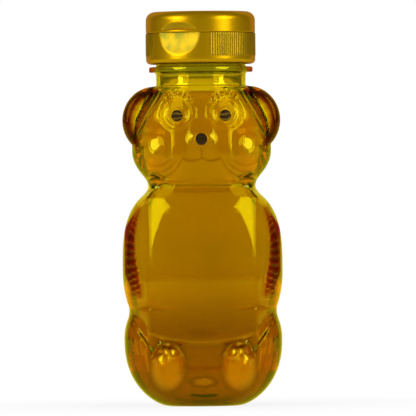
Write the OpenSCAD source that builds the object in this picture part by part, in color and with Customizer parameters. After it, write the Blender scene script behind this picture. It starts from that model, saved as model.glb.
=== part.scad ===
// Bear-shaped honey bottle with a 38 mm threaded neck and a snap-top closure.
// Millimetres, +Z up. The bear looks along -Y and +X is on the viewer's right.
// The origin is the middle of the footprint, on the surface that the bottle stands on.

/* [Bottle wall] */
// Thickness of the blown wall
wall = 1.0; // [0.7:0.05:1.3]
// Extra wall at the foot, as a share of the wall
foot_extra = 1.0; // [0:0.1:1.5]
// Thickness of the floor
floor_t = 1.5; // [1:0.1:2.5]
// Rise of the base inside the standing ring
pushup = 2.5; // [1:0.1:4]
// Roundness where one form of the body runs into the next
blend = 3; // [1:0.25:5]
// Roundness of the folds across the front
fold_blend = 1.4; // [0.8:0.1:3]

/* [Hips] */
// Half width of the footprint
foot_half_w = 14; // [11:0.25:17]
// Half depth of the footprint
foot_half_d = 12; // [9:0.25:15]
// Half width of the hips
hip_half_w = 30.8; // [27:0.2:34]
// Depth of the hips in front of the middle
hip_front = 20.8; // [18:0.2:23]
// Depth of the hips behind the middle
hip_back = 25; // [21:0.2:27]
// Height of the widest level of the hips
hip_z = 26.5; // [22:0.5:30]
// Height from there to where the hips would close
hip_rise = 24.6; // [20:0.2:30]

/* [Trunk] */
// Half width of the trunk across the arms
belly_half_w = 31.2; // [28:0.2:34]
// Depth of the trunk in front of the middle
belly_front = 24.5; // [21:0.25:27]
// Depth of the trunk behind the middle
belly_back = 24; // [21:0.25:27]
// Height of the widest level of the trunk
belly_z = 53.5; // [49:0.5:57]
// Height from there down to where the trunk would close
belly_drop = 32.5; // [29:0.5:38]
// Height from there up to where the trunk would close
belly_rise = 34; // [30:0.5:38]
// Height from there up to where the front of the shoulders would close
shoulder_rise = 33; // [30:0.2:35]
// How far the label panel is cut back from the trunk
panel_cut = 0.5; // [0.2:0.05:1]
// Half width of the label panel, between its upright edges
panel_half_w = 21.3; // [19:0.1:23]
// Radius of the label panel across the belly
panel_r = 46; // [38:1:70]
// Radius of the label panel up the belly
panel_bow_r = 300; // [200:10:600]
// Height of the panel's lower edge in the middle
panel_low = 24.6; // [22:0.2:28]
// How much higher the panel's lower edge is at its sides
panel_smile = 2.8; // [1:0.2:4]
// How far the body is cut back under the panel
apron_in = 1.1; // [0.5:0.1:1.5]

/* [Throat and head] */
// Half width of the throat
throat_half_w = 21; // [18.5:0.25:23]
// Half depth of the throat
throat_half_d = 17.6; // [16.4:0.2:20]
// Half width of the head across the cheeks
cheek_half_w = 27.1; // [24:0.2:30]
// Depth of the head in front of the middle
head_front = 21.4; // [19:0.2:24]
// Depth of the head behind the middle
head_back = 23; // [20:0.2:25]
// Height of the widest level of the head
cheek_z = 99.6; // [96:0.2:103]
// Height from there down to where the head would close
head_drop = 18; // [15:0.25:21]
// Height from there up to where the head would close
head_rise = 32.5; // [28.5:0.25:36]

/* [Ears] */
// Distance of the ear's middle from the middle of the head
ear_x = 18.3; // [16:0.1:20]
// Height of the ear's middle
ear_z = 111.3; // [109:0.1:111.4]
// Half width of the ear
ear_half_w = 12.5; // [11:0.1:14]
// Half height of the ear
ear_half_h = 13.2; // [11:0.1:13.2]
// Radius of the rounded rim of the ear
ear_rim_r = 3.4; // [2.6:0.1:4.2]
// Half thickness of the web inside the rim
ear_web = 2.0; // [1.5:0.1:2.6]

/* [Face] */
// Distance of each pupil from the middle of the face
eye_x = 9.4; // [8:0.1:11]
// Height of the pupils
eye_z = 112.9; // [111:0.1:114]
// Diameter of each pupil
pupil_d = 4.4; // [3:0.1:5]
// How far the eyeball stands out
eye_out = 1.4; // [0.8:0.1:2.2]
// Radius of the brow ring round the eye
brow_r = 7.2; // [6.4:0.1:8]
// How far the brow ring stands out
brow_out = 0.7; // [0.4:0.1:1.2]
// Half width of the muzzle
muzzle_half_w = 12; // [10:0.25:14]
// Radius of the flatter face across the muzzle
face_r = 60; // [40:2:100]
// How far the muzzle stands out
muzzle_out = 0.4; // [0.1:0.1:1]
// Height of the nose
nose_z = 103.7; // [102:0.1:106]
// Diameter of the nose spot
nose_d = 4.6; // [3:0.1:5]
// How far the snout stands out under the nose
snout_out = 3.0; // [1.6:0.1:3.6]
// How far the cheeks stand out
cheek_out = 2.0; // [1:0.1:2.6]
// Thickness of the painted pupils and nose
spot_t = 0.4; // [0.2:0.05:0.8]

/* [Arms, thighs and feet] */
// How far the arms stand out
arm_out = 0.9; // [0.4:0.1:1.5]
// Height of the lower end of the arms
arm_low = 41; // [39:0.5:45]
// Height of the upper end of the arms
arm_high = 79; // [72:0.5:81]
// How far the thighs stand out
thigh_out = 1.0; // [0.4:0.1:1.6]
// Distance of each foot from the middle
foot_x = 13.9; // [12:0.1:15.5]
// Height of the middle of the feet
foot_z = 15.4; // [13:0.1:17]
// Half width of each sole
sole_half_w = 7.4; // [6:0.1:8.5]
// Half height of each sole
sole_half_h = 10.2; // [8:0.1:11.5]
// How far the soles stand out
sole_out = 4.4; // [3:0.1:6]
// How far the toes stand out of the soles
toe_out = 1.2; // [0.3:0.1:1.6]
// Length of the tail
tail_w = 9; // [6:0.5:12]
// How far the tail stands out
tail_out = 1.2; // [0.6:0.1:2]

/* [Neck finish] */
// Height of the foot of the neck
neck_z = 124.6; // [124.6:0.2:127]
// Outer diameter of the neck
neck_d = 34.9; // [34:0.1:35.2]
// Bore of the neck
bore_d = 31.8; // [30:0.1:32]
// Height from the foot of the neck to its lip
finish_h = 17.6; // [17.6:0.2:19]
// Diameter of the transfer ring
ring_d = 40.4; // [39:0.1:42]
// Thickness of the transfer ring
ring_t = 2.1; // [1.4:0.1:2.4]
// Height from the foot of the neck to the transfer ring
ring_up = 5.3; // [4:0.1:5.3]
// Diameter across the thread
thread_d = 37.3; // [36.6:0.05:37.4]
// Thread pitch, six turns to the inch
pitch = 4.233; // [3.8:0.001:4.4]
// Turns of thread
turns = 1.25; // [1:0.125:1.25]
// Width of a thread at its root
thread_root = 2.4; // [1.8:0.1:2.4]
// Width of a thread at its crest
thread_crest = 0.9; // [0.6:0.1:1.1]

/* [Closure base] */
// Diameter of the closure
cap_d = 42.6; // [42.2:0.1:44]
// Gap between the transfer ring and the closure
skirt_gap = 1.1; // [0.8:0.1:2]
// Height of the closure base
base_h = 12.1; // [11.5:0.1:13]
// Radius of the rounded lower edge
skirt_round = 1.8; // [1:0.1:1.9]
// Thickness of the deck over the lip
deck_t = 1.5; // [1.2:0.1:1.6]
// Outer diameter of the collar that the lid snaps over
collar_d = 38.4; // [38:0.1:38.4]
// Wall of the collar
collar_t = 0.9; // [0.7:0.05:1.1]
// Height of the collar above the seam
collar_h = 1.6; // [1:0.1:2]
// Height of the snap bead on the collar
bead_h = 0.1; // [0.05:0.01:0.12]
// Diameter of the hole that the honey leaves by
spout_d = 6.4; // [5.6:0.1:8]
// Wall of the spout
spout_t = 1.3; // [1:0.1:1.6]
// Height of the spout above the deck
spout_h = 3.1; // [2.5:0.1:4]
// Depth of the grip ribs
rib_h = 0.28; // [0.15:0.01:0.4]
// Angle from one grip rib to the next
rib_step = 3.3; // [2.5:0.1:5]
// Half angle without ribs, at the thumb and at the hinge
plain_angle = 34; // [28:1:40]
// Height of the grip ribs
rib_band_h = 9.0; // [6:0.1:9.4]

/* [Lid] */
// Height of the lid
lid_h = 8.25; // [8:0.05:10]
// Radius of the rounded upper edge
lid_round = 3.4; // [2:0.1:3.6]
// Wall of the lid
lid_t = 1.2; // [1:0.05:1.3]
// Height of the thumb scoop in the base
thumb_base_h = 8.6; // [6:0.1:9.5]
// Depth of the thumb scoop in the base
thumb_base_in = 1.8; // [1:0.1:1.9]
// Height of the thumb scoop in the lid
thumb_lid_h = 3.8; // [2.5:0.1:4.2]
// Depth of the thumb scoop in the lid
thumb_lid_in = 1.35; // [0.8:0.05:1.4]
// Thickness of the thumb lip
thumb_lip_t = 0.85; // [0.6:0.05:1.2]
// Turn of the thumb scoop from the bear's face
thumb_yaw = 24.4; // [0:0.2:45]
// How far the lid's plug reaches into the spout
plug_in = 1.4; // [0.8:0.1:2]
// Width of the film hinge
hinge_w = 11; // [7:0.5:14]
// Thickness of the film hinge
hinge_t = 0.4; // [0.3:0.05:0.5]
// Height of the film hinge
hinge_h = 3.0; // [2:0.1:4]
// Thickness of the foam seal
seal_t = 0.8; // [0.6:0.05:1.2]
// Inner diameter of the foam seal
seal_bore_d = 26; // [22:0.5:29]
// Gap between the foam seal and the skirt
seal_inset = 0.5; // [0.3:0.1:1]

/* [Fits] */
// Gap between the bottle's thread and the bore of the skirt
thread_gap = 0.3; // [0.2:0.05:0.4]
// Gap between the neck and the closure's thread
crest_gap = 0.5; // [0.35:0.05:0.7]
// Gap between the base and the lid at the seam
seam_gap = 0.1; // [0.05:0.01:0.2]
// Gap between the collar and the lid
collar_gap = 0.15; // [0.13:0.01:0.3]
// Gap all round the lid's plug
plug_gap = 0.35; // [0.3:0.01:0.5]
// Gap between the seal and what it lies between
seal_gap = 0.04; // [0.02:0.01:0.1]
// Gap behind a painted spot
spot_gap = 0.02; // [0.01:0.01:0.05]
// Gap between the film hinge and the closure's wall
hinge_gap = 0.02; // [0.01:0.01:0.05]

/* [Hidden] */

// Fullness of each form, from 2 for an ellipse upwards to a box
hip_power = 2.3;
trunk_power = 2.2;
head_power = 2.1;
chin_power = 2.7;
round_power = 2;

// Shape of the rise from the footprint to the hips
foot_curve = 2.4;
foot_ease = 1.5;

// The fronts and the backs of the trunk, which stay full up to the shoulders
trunk_side_low = 2.3;
trunk_side_high = 3;
trunk_deep = 6;
shoulder_power = 5;
throat_power = 3;

// The upright edges of the label panel and of the face: their share of the form where it narrows,
// the bow of the flat sides behind them, their roundness, and that of the panel's lower edge
edge_share = 0.9;
side_ease = 0.55;
cheek_ease = 0.6;
edge_round = 0.5;
hem_round = 1.5;

// The throat lies where the trunk closes under the head.
throat_z = belly_z + belly_rise - 1.5;
neck_r = neck_d / 2;
bore_r = bore_d / 2;

// Width of the step under the neck, outside and inside
shelf = 0.3;

// Grid of the moulding: columns in a quarter of the front and of the back, rows in three stretches
front_cols = 28;
back_cols = 12;
foot_rows = 18;
trunk_rows = 14;
head_rows = 28;
inner_rows = 28;
side_angle = 68;
around = 2 * (front_cols + back_cols);
foot_top = hip_z + 2;

// Places and spreads of the relief on the face
brow_x = eye_x + 0.8;
dome_z = eye_z + 1.2;
dome_r = 4.8;
brow_half = 2.4;
crease_z = eye_z - 1.6;
muzzle_top = eye_z - 3.4;
cheek_x = cheek_half_w - 8;
cheek_r = 5.6;
snout_r = 7;
snout_tall = 1.25;
chin_z = throat_z + 4;

// Places and spreads of the relief on the limbs
toe_r = 2.9;
toe_angles = [28, 69, 111, 152];
thigh_x = hip_half_w - 10.2;
thigh_z = hip_z - 2.1;
thigh_slope = 55;
thigh_low = hip_z - 3.5;
thigh_edge = 1.5;
thigh_fade = 0.6;
foot_clear = 10;
arm_edge = belly_half_w - 6.6;
arm_wave = 1.6;
arm_lean = 1.2;
tail_z = 11;
tail_half_h = 3.4;

// Share of the relief that the inner skin follows, and the depth at which the sides lose it
inner_share = 0.6;
fade_depth = 6;

cap_r = cap_d / 2;
ring_z = neck_z + ring_up;
lip_z = neck_z + finish_h;
skirt_z = ring_z + ring_t + skirt_gap;
seam_z = skirt_z + base_h;
lid_z = seam_z + seam_gap / 2;
base_top_z = seam_z - seam_gap / 2;
deck_z = lip_z + seal_t + 2 * seal_gap;
collar_r = collar_d / 2;
collar_top_z = seam_z + collar_h;
lid_top_z = lid_z + lid_h;
lid_bore_r = cap_r - lid_t;
skirt_bore_r = thread_d / 2 + thread_gap;
cap_crest_r = neck_r + crest_gap;
spout_r = spout_d / 2;
spout_top_z = deck_z + deck_t + spout_h;

// The threads' roots are sunk in their walls. The closure's thread runs half a pitch under the bottle's.
thread_sink = 0.25;
thread_z = ring_z + ring_t + 3.1;
cap_thread_from = 150;

bottle_tint = [0.72, 0.5, 0.02, 0.75];
cap_tint = [0.62, 0.45, 0.02];
ink_tint = [0.13, 0.07, 0.02];
foam_tint = [0.92, 0.9, 0.84];

// Half of a rounded outline: 1 at t = 0 and 0 at t = 1 or beyond.
function swell(t, power) = abs(t) >= 1 ? 0 : pow(1 - pow(abs(t), power), 1 / power);

// Rise from 0 at t = 0 to 1 at t = 1, steep at first.
function rise(t) = t >= 1 ? 1 : pow(1 - pow(1 - max(0, t), foot_curve), 1 / foot_ease);

// Ramp from 0 to 1 with soft ends.
function ramp(t) = let (s = min(1, max(0, t))) s * s * (3 - 2 * s);

// The greater of two sizes, with the corner between them rounded over a width k.
function soft_max(a, b, k) =
    let (e = min(k, min(a, b)), d = e - abs(a - b))
    d > 0 ? max(a, b) + d * d / (4 * e) : max(a, b);

// The lesser of two sizes, with the corner between them rounded over a width k.
function soft_min(a, b, k) = let (d = k - abs(a - b)) d > 0 ? min(a, b) - d * d / (4 * k) : min(a, b);

function soft_max_all(v, k, i = 0) =
    i == len(v) - 1 ? v[i] : soft_max(v[i], soft_max_all(v, k, i + 1), k);

// Each form gives half width, depth in front, depth behind and fullness at height z.
function hips(z) =
    let (g = rise(z / hip_z), s = swell(max(0, z - hip_z) / hip_rise, round_power))
    [(foot_half_w + (hip_half_w - foot_half_w) * g) * s,
     (foot_half_d + (hip_front - foot_half_d) * g) * s,
     (foot_half_d + (hip_back - foot_half_d) * g) * s,
     hip_power];

function trunk(z) =
    let (up = z - belly_z, t = up / (up < 0 ? belly_drop : belly_rise))
    let (side = swell(t, up < 0 ? trunk_side_low : trunk_side_high))
    let (front = up < 0 ? swell(t, trunk_deep) : swell(up / shoulder_rise, shoulder_power))
    [belly_half_w * side, belly_front * front, belly_back * swell(t, trunk_deep), trunk_power];

function throat(z) =
    let (s = swell((z - throat_z) / (throat_z - hip_z), round_power))
    [throat_half_w * s, throat_half_d * s, throat_half_d * s, throat_power];

// The front of the head stays full down to the chin.
function head(z) =
    let (s = swell((z - cheek_z) / (z < cheek_z ? head_drop : head_rise), round_power))
    let (chin = z < cheek_z ? swell((z - cheek_z) / head_drop, chin_power) : s)
    [cheek_half_w * s, head_front * chin, head_back * s, head_power];

function neck_foot(z) =
    let (r = z > throat_z ? neck_r + shelf : 0)
    [r, r, r, round_power];

// The wall's thickness grows towards the foot.
function wall_at(z) = wall * (1 + foot_extra * max(0, 1 - z / 8));

// All forms at one height, each drawn in by skin.
function forms(z, skin) =
    [for (f = [hips(z), trunk(z), throat(z), head(z), neck_foot(z)])
        [max(0, f[0] - skin), max(0, f[1] - skin), max(0, f[2] - skin), f[3]]];

// Half width of the body without the ears.
function core_w(fs) = soft_max_all([for (f = fs) f[0]], blend);

// Half width out to the rim of the ear.
function full_w(z, fs, skin) =
    let (s = swell((z - ear_z) / (ear_half_h - skin), 2))
    max(core_w(fs), s > 0 ? ear_x + (ear_half_w - skin) * s : 0);

// How far the label panel falls back at x from its middle.
function panel_drop(x) = panel_r - sqrt(max(0, panel_r * panel_r - x * x));

// Front of the trunk: the label panel, and flat sides that run back from its upright edges.
function trunk_front(x, z, half_w, front, skin) =
    front <= 0 || x >= half_w ? 0
    : let (edge = min(panel_half_w - skin, edge_share * half_w))
        let (bow = pow(z - belly_z, 2) / (2 * panel_bow_r))
        let (round = z < belly_z ? hem_round : edge_round)
        let (face = soft_min(front, belly_front - skin - panel_cut - bow, round))
        let (flat = max(0, face - panel_drop(min(x, edge + 1))), corner = max(0, face - panel_drop(edge)))
        soft_min(flat, corner * pow((half_w - x) / (half_w - edge), side_ease), edge_round);

// Front of the head: a flatter face between the cheeks, up to the eyes.
function head_face(x, z, half_w, front, skin) =
    front <= 0 || x >= half_w ? 0
    : let (edge = min(muzzle_half_w - skin, edge_share * half_w), full = front * swell(x / half_w, head_power))
        let (flat = front - pow(min(x, edge + 1), 2) / (2 * face_r))
        let (side = (front - edge * edge / (2 * face_r)) * pow((half_w - x) / (half_w - edge), cheek_ease))
        full + (soft_min(flat, side, edge_round) - full) * ramp((muzzle_top + 2 - z) / 8);

// Cut under the panel, whose lower edge is a smile above the feet.
function apron(x, z) =
    let (end = panel_low + panel_smile * pow(x / panel_half_w, 2))
    apron_in * ramp((end - z) / 1.6 + 0.5) * ramp((panel_half_w - x) / 3) * ramp((z - foot_clear) / 8);

// Depth of the body at x, in front or behind, without the ears and the relief.
function core_depth(x, z, fs, side, skin) =
    let (scale = max([for (f = fs) f[0]]) / core_w(fs))
    let (d = [for (f = fs) f[0] > 0 ? f[side] * swell(x * scale / f[0], f[3]) : 0])
    let (m = abs(x) * scale, panel = trunk_front(m, z, fs[1][0], fs[1][1], skin))
    let (face = head_face(m, z, fs[3][0], fs[3][1], skin))
    side == 1 ? soft_max_all([d[0], panel, d[2], face, d[4]], fold_blend) - apron(abs(x), z)
    : soft_max_all(d, blend);

// Half thickness of an ear: a rounded rim round a thinner web.
function ear_depth(x, z, skin) =
    let (ring = ear_half_w - ear_rim_r, tube = ear_rim_r - skin)
    let (q = norm([(abs(x) - ear_x) / ear_half_w, (z - ear_z) / ear_half_h]) * ear_half_w)
    let (rim = tube * swell((q - ring) / tube, 2))
    q < ring ? soft_max(rim, ear_web - skin, 1) : rim;

// Smooth bump, smooth ring and smooth mesa over a distance d from their middle.
function bell(d, r) = d >= r ? 0 : pow(cos(90 * d / r), 2);
function ridge(d, r, half) = bell(abs(d - r), half);
function mesa(d, edge) = ramp((1 - d) / edge);

// Toes along the upper edge of the sole.
function toes(x, z) =
    max([for (a = toe_angles)
        let (tx = foot_x + 0.62 * sole_half_w * cos(a), tz = foot_z + 0.7 * sole_half_h * sin(a))
        toe_out * bell(norm([x - tx, z - tz]), toe_r)]);

function sole(x, z) =
    let (q = norm([(x - foot_x) / sole_half_w, (z - foot_z) / sole_half_h]))
    sole_out * mesa(q, 0.6) + toes(x, z);

// The edge of the thigh runs down and in from the waist to the foot, and softens beside the foot.
function thigh(x, z) =
    let (q = (x - thigh_x) * sin(thigh_slope) - (z - thigh_z) * cos(thigh_slope))
    let (edge = thigh_edge + thigh_fade * max(0, thigh_low - z))
    thigh_out * ramp(q / edge) * ramp(z / 8) * ramp((hip_z + 13 - z) / 5);

// The arm's front edge waves as it comes down the side.
function arm(x, z) =
    let (t = (z - arm_low) / (arm_high - arm_low), edge = arm_edge - arm_wave * cos(300 * t) - arm_lean * t)
    t <= 0 || t >= 1 ? 0 : arm_out * ramp((x - edge) / 2) * ramp(t / 0.08) * ramp((1 - t) / 0.12);

function eye_relief(x, z) =
    let (e = norm([x - eye_x, z - dome_z]), b = norm([x - brow_x, z - dome_z]))
    eye_out * mesa(e / dome_r, 0.6)
    + brow_out * ridge(b, brow_r, brow_half) * ramp((abs(x - brow_x) / brow_r - 0.2) / 0.5)
    * ramp((z - crease_z) / 1.6 + 0.5);

function muzzle(x, z) =
    muzzle_out * ramp((muzzle_half_w - x) / 1.6 + 0.5)
    * ramp((muzzle_top - z) / 6) * ramp((z - chin_z) / 9);

// What stands out of the front of the body at x, z, without the flats for the painted spots.
function front_relief(x, z) =
    let (m = abs(x))
    sole(m, z) + thigh(m, z) + arm(m, z) + eye_relief(m, z) + muzzle(m, z)
    + snout_out * bell(norm([m, (z - nose_z + 0.6) / snout_tall]), snout_r)
    + cheek_out * bell(norm([m - cheek_x, z - cheek_z - 2]), cheek_r);

// What stands out of the back: thighs, arms and the tail.
function back_relief(x, z) =
    let (m = abs(x))
    thigh(m, z) + arm(m, z) + tail_out * mesa(norm([m / (tail_w / 2), (z - tail_z) / tail_half_h]), 0.7);

function raw_front(x, z) = core_depth(x, z, forms(z, 0), 1, 0) + front_relief(x, z);

// Depth of the flats that carry the pupils and the nose.
eye_flat = raw_front(eye_x, dome_z);
nose_flat = raw_front(0, nose_z);

// The surface is level under a painted spot and never stands in front of it beside the spot.
function level_spot(h, d, r, level) = d < r + 0.6 ? level : d < r + 2.6 ? min(h, level) : h;

function depth(x, z, fs, side, skin) =
    let (share = skin > 0 ? inner_share : 1)
    let (core = core_depth(x, z, fs, side, skin))
    let (relief = side == 1 ? front_relief(x, z) : back_relief(x, z))
    let (fade = min(1, core / fade_depth))
    let (h = core + share * fade * relief)
    let (body = skin > 0 || side == 2 ? h
        : level_spot(level_spot(h, norm([abs(x) - eye_x, z - eye_z]), pupil_d / 2, eye_flat),
            norm([x, z - nose_z]), nose_d / 2, nose_flat))
    soft_max(body, ear_depth(x, z, skin), 2);

// Column u of the grid, from 0 in the middle to 90 at the side, as a distance from the middle.
function column_x(u, core, full) =
    let (c = core * sin(side_angle))
    u <= side_angle ? core * sin(u) : c + (full - c) * (sin(u) - sin(side_angle)) / (1 - sin(side_angle));

// Angle of column i, and its side: 1 in front, 2 behind. Columns run from -X round the front to +X.
function column(i) =
    i <= 2 * front_cols ? [90 * i / front_cols - 90, 1]
    : [90 - 90 * (i - 2 * front_cols) / back_cols, 2];

// Point of the shell on column i at height z. share draws the row in towards the middle.
function shell_point(i, z, skin, share, at_z) =
    let (c = column(i), u = abs(c[0]), fs = forms(z, skin))
    let (core = core_w(fs), full = full_w(z, fs, skin), x = column_x(u, core, full))
    let (y = u > 89.9 ? 0 : depth(x * sign(c[0]), z, fs, c[1], skin))
    [share * x * sign(c[0]), share * (c[1] == 1 ? -y : y), at_z];

function bore_point(i, z) =
    let (c = column(i), r = bore_r - shelf)
    [r * sin(c[0]), (c[1] == 1 ? -1 : 1) * r * cos(c[0]), z];

function steps(from, to, n) = [for (k = [0:n - 1]) from + (to - from) * k / n];

// Rows of the outer skin as [height of the section, share of it, height of the row].
outer_rows = concat(
    [[0, 0.45, pushup * 0.9], [0, 0.8, 0]],
    [for (z = steps(0, foot_top, foot_rows)) [z, 1, z]],
    [for (z = steps(foot_top, throat_z, trunk_rows)) [z, 1, z]],
    [for (z = steps(throat_z, neck_z, head_rows)) [z, 1, z]],
    [[neck_z, 1, neck_z]]);

// Rows of the inner skin. The last two are the step under the neck's bore.
step_z = neck_z - 1.4;
inner_skin = concat(
    [[floor_t, 0.45, floor_t + pushup * 0.9]],
    [for (z = steps(floor_t, step_z - 1, inner_rows)) [z, 1, z]]);

// Two triangles for the square p, q, r, s, parted along its shorter diagonal.
function split_square(points, p, q, r, s) =
    norm(points[p] - points[r]) < norm(points[q] - points[s])
    ? [[p, q, r], [p, r, s]]
    : [[q, r, s], [q, s, p]];

module bear_shell() {
    outer_n = len(outer_rows);
    skin_n = len(inner_skin);
    half = around / 2;
    outer_points = [for (r = outer_rows, i = [0:around - 1]) shell_point(i, r[0], 0, r[1], r[2])];
    inner_points =
        [for (r = inner_skin, i = [0:half - 1]) shell_point(2 * i, r[0], wall_at(r[0]), r[1], r[2])];
    bore_points = [for (z = [step_z, neck_z], i = [0:half - 1]) bore_point(2 * i, z)];
    start = outer_n * around;
    inner_n = skin_n + 2;
    middle = start + inner_n * half;
    top = (outer_n - 1) * around;
    rim = start + (inner_n - 1) * half;
    polyhedron(
        points = concat(outer_points, inner_points, bore_points, [[0, 0, pushup], [0, 0, floor_t + pushup]]),
        faces = concat(
            [for (i = [0:around - 1]) [i, (i + 1) % around, middle]],
            [for (r = [0:outer_n - 2], i = [0:around - 1])
                let (a = r * around + i, b = r * around + (i + 1) % around)
                each split_square(outer_points, b, a, a + around, b + around)],
            [for (i = [0:half - 1]) [start + (i + 1) % half, start + i, middle + 1]],
            [for (r = [0:inner_n - 2], i = [0:half - 1])
                let (a = start + r * half + i, b = start + r * half + (i + 1) % half)
                each [[a, b, b + half], [a, b + half, a + half]]],
            [for (i = [0:half - 1])
                let (a = top + 2 * i, b = a + 1, c = top + (2 * i + 2) % around)
                let (e = rim + i, f = rim + (i + 1) % half)
                each [[a, e, b], [b, f, c], [b, e, f]]]),
        convexity = 10);
}

// Ridge wound round the Z axis, tapering away at both ends. from and to are angles in degrees.
module thread(root_r, crest_r, from, to, z_at_zero) {
    count = round((to - from) / 10);
    taper = 4;
    way = crest_r > root_r ? 1 : -1;
    section = [for (s = [0:count])
        let (a = from + (to - from) * s / count, z = z_at_zero + pitch * a / 360)
        let (full = max(0.05, min(1, min(s, count - s) / taper)))
        let (r = root_r + (crest_r - root_r) * full)
        let (half = (thread_root + (thread_crest - thread_root) * full) / 2)
        each [for (p = [[root_r, -thread_root / 2], [r, -half], [r, half], [root_r, thread_root / 2]])
            [p[0] * cos(a), p[0] * sin(a), z + way * p[1]]]];
    polyhedron(
        points = section,
        faces = concat(
            [[3, 2, 1, 0]],
            [for (s = [0:count - 1], k = [0:3])
                let (a = 4 * s + k, b = 4 * s + (k + 1) % 4)
                each [[a, b, b + 4], [a, b + 4, a + 4]]],
            [[4 * count, 4 * count + 1, 4 * count + 2, 4 * count + 3]]),
        convexity = 6);
}

// Points of a quarter round from one angle to another.
function arc(cx, cy, r, from, to, n = 8) =
    [for (k = [0:n]) let (a = from + (to - from) * k / n) [cx + r * cos(a), cy + r * sin(a)]];

module bottle() {
    color(bottle_tint) {
        bear_shell();
        rotate_extrude($fn = 96) polygon([
            [bore_r, step_z + 0.3], [neck_r, step_z + 0.3],
            [neck_r, ring_z - 0.8], [neck_r + 0.8, ring_z],
            [ring_d / 2 - 0.4, ring_z], [ring_d / 2, ring_z + 0.4],
            [ring_d / 2, ring_z + ring_t - 0.4], [ring_d / 2 - 0.4, ring_z + ring_t],
            [neck_r, ring_z + ring_t], [neck_r, lip_z - 0.4],
            [neck_r - 0.4, lip_z], [bore_r + 0.4, lip_z], [bore_r, lip_z - 0.4]]);
        thread(neck_r - thread_sink, thread_d / 2, 0, 360 * turns, thread_z);
    }
}

// Painted spot on the face, crowned in front.
module spot(x, z, d, level) {
    color(ink_tint)
        translate([x, -level - spot_gap, z]) rotate([90, 0, 0])
            rotate_extrude($fn = 48) polygon([
                [0, 0], [d / 2, 0], [d / 2, spot_t * 0.4],
                [d / 2 - spot_t * 0.5, spot_t * 0.85], [d / 4, spot_t], [0, spot_t]]);
}

module left_eye() {
    spot(-eye_x, eye_z, pupil_d, eye_flat);
}

module right_eye() {
    spot(eye_x, eye_z, pupil_d, eye_flat);
}

module nose_tip() {
    spot(0, nose_z, nose_d, nose_flat);
}

module seal_liner() {
    color(foam_tint)
        translate([0, 0, lip_z + seal_gap])
            rotate_extrude($fn = 96)
                translate([seal_bore_d / 2, 0])
                    square([skirt_bore_r - seal_inset - seal_bore_d / 2, seal_t]);
}

// Cylinder lying across the thumb scoop. It cuts h up or down the wall and in deep.
module thumb_cutter(h, in) {
    r = (h * h + in * in) / (2 * in);
    translate([0, 0, seam_z])
        rotate([0, 0, -thumb_yaw])
            translate([0, -(cap_r - in + r), 0])
                rotate([0, 90, 0])
                    cylinder(h = 2 * cap_r, r = r, center = true, $fn = 128);
}

// Slab that limits a cut to heights between low and high.
module slab(low, high) {
    translate([-2 * cap_r, -2 * cap_r, low])
        cube([4 * cap_r, 4 * cap_r, high - low]);
}

// Grip ribs over one arc, on a backing sunk in the wall.
module rib_band(from, to) {
    count = floor((to - from) / rib_step);
    step = (to - from) / count;
    foot = cap_r + 0.02;
    tip = cap_r + rib_h;
    outline = [for (k = [0:count - 1], p = [[0, foot], [0.25, tip], [0.6, tip], [0.85, foot]])
        let (a = from + step * (k + p[0])) p[1] * [cos(a), sin(a)]];
    back = [for (k = [count:-1:0]) let (a = from + step * k) (cap_r - 0.6) * [cos(a), sin(a)]];
    translate([0, 0, base_top_z - 0.1 - rib_band_h])
        linear_extrude(rib_band_h) polygon(concat(outline, back));
}

module cap_base() {
    color(cap_tint) {
        difference() {
            rotate_extrude($fn = 128) polygon(concat(
                [[skirt_bore_r + 0.1, skirt_z]],
                arc(cap_r - skirt_round, skirt_z + skirt_round, skirt_round, -90, 0),
                [[cap_r, base_top_z], [collar_r, base_top_z],
                 [collar_r, collar_top_z - 0.9], [collar_r + bead_h, collar_top_z - 0.6],
                 [collar_r, collar_top_z - 0.3], [collar_r - 0.2, collar_top_z],
                 [collar_r - collar_t, collar_top_z], [collar_r - collar_t, deck_z + deck_t],
                 [spout_r + spout_t, deck_z + deck_t], [spout_r + spout_t, spout_top_z - 0.4],
                 [spout_r + spout_t - 0.4, spout_top_z], [spout_r + 0.3, spout_top_z],
                 [spout_r, spout_top_z - 0.3], [spout_r, deck_z],
                 [skirt_bore_r, deck_z], [skirt_bore_r, skirt_z + 0.5]]));
            intersection() {
                thumb_cutter(thumb_base_h, thumb_base_in);
                slab(skirt_z, base_top_z + 0.01);
            }
        }
        for (side = [0, 180])
            rotate([0, 0, -90 - thumb_yaw + side])
                rib_band(plain_angle, 180 - plain_angle);
        thread(skirt_bore_r + thread_sink, cap_crest_r, cap_thread_from, cap_thread_from + 360 * turns,
            thread_z - pitch / 2);
    }
}

// Thin strap across the seam, at the back of the closure.
module living_hinge() {
    half = asin(hinge_w / 2 / cap_r);
    near = cap_r + hinge_gap;
    color(cap_tint)
        translate([0, 0, seam_z - hinge_h / 2])
            rotate([0, 0, 90 - thumb_yaw - half])
                rotate_extrude(angle = 2 * half, $fn = 128) polygon([
                    [near, 0], [near + hinge_t * 0.5, 0], [near + hinge_t, hinge_t],
                    [near + hinge_t, hinge_h / 2 - 0.4], [near + hinge_t * 0.6, hinge_h / 2],
                    [near + hinge_t, hinge_h / 2 + 0.4], [near + hinge_t, hinge_h - hinge_t],
                    [near + hinge_t * 0.5, hinge_h], [near, hinge_h]]);
}

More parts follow.
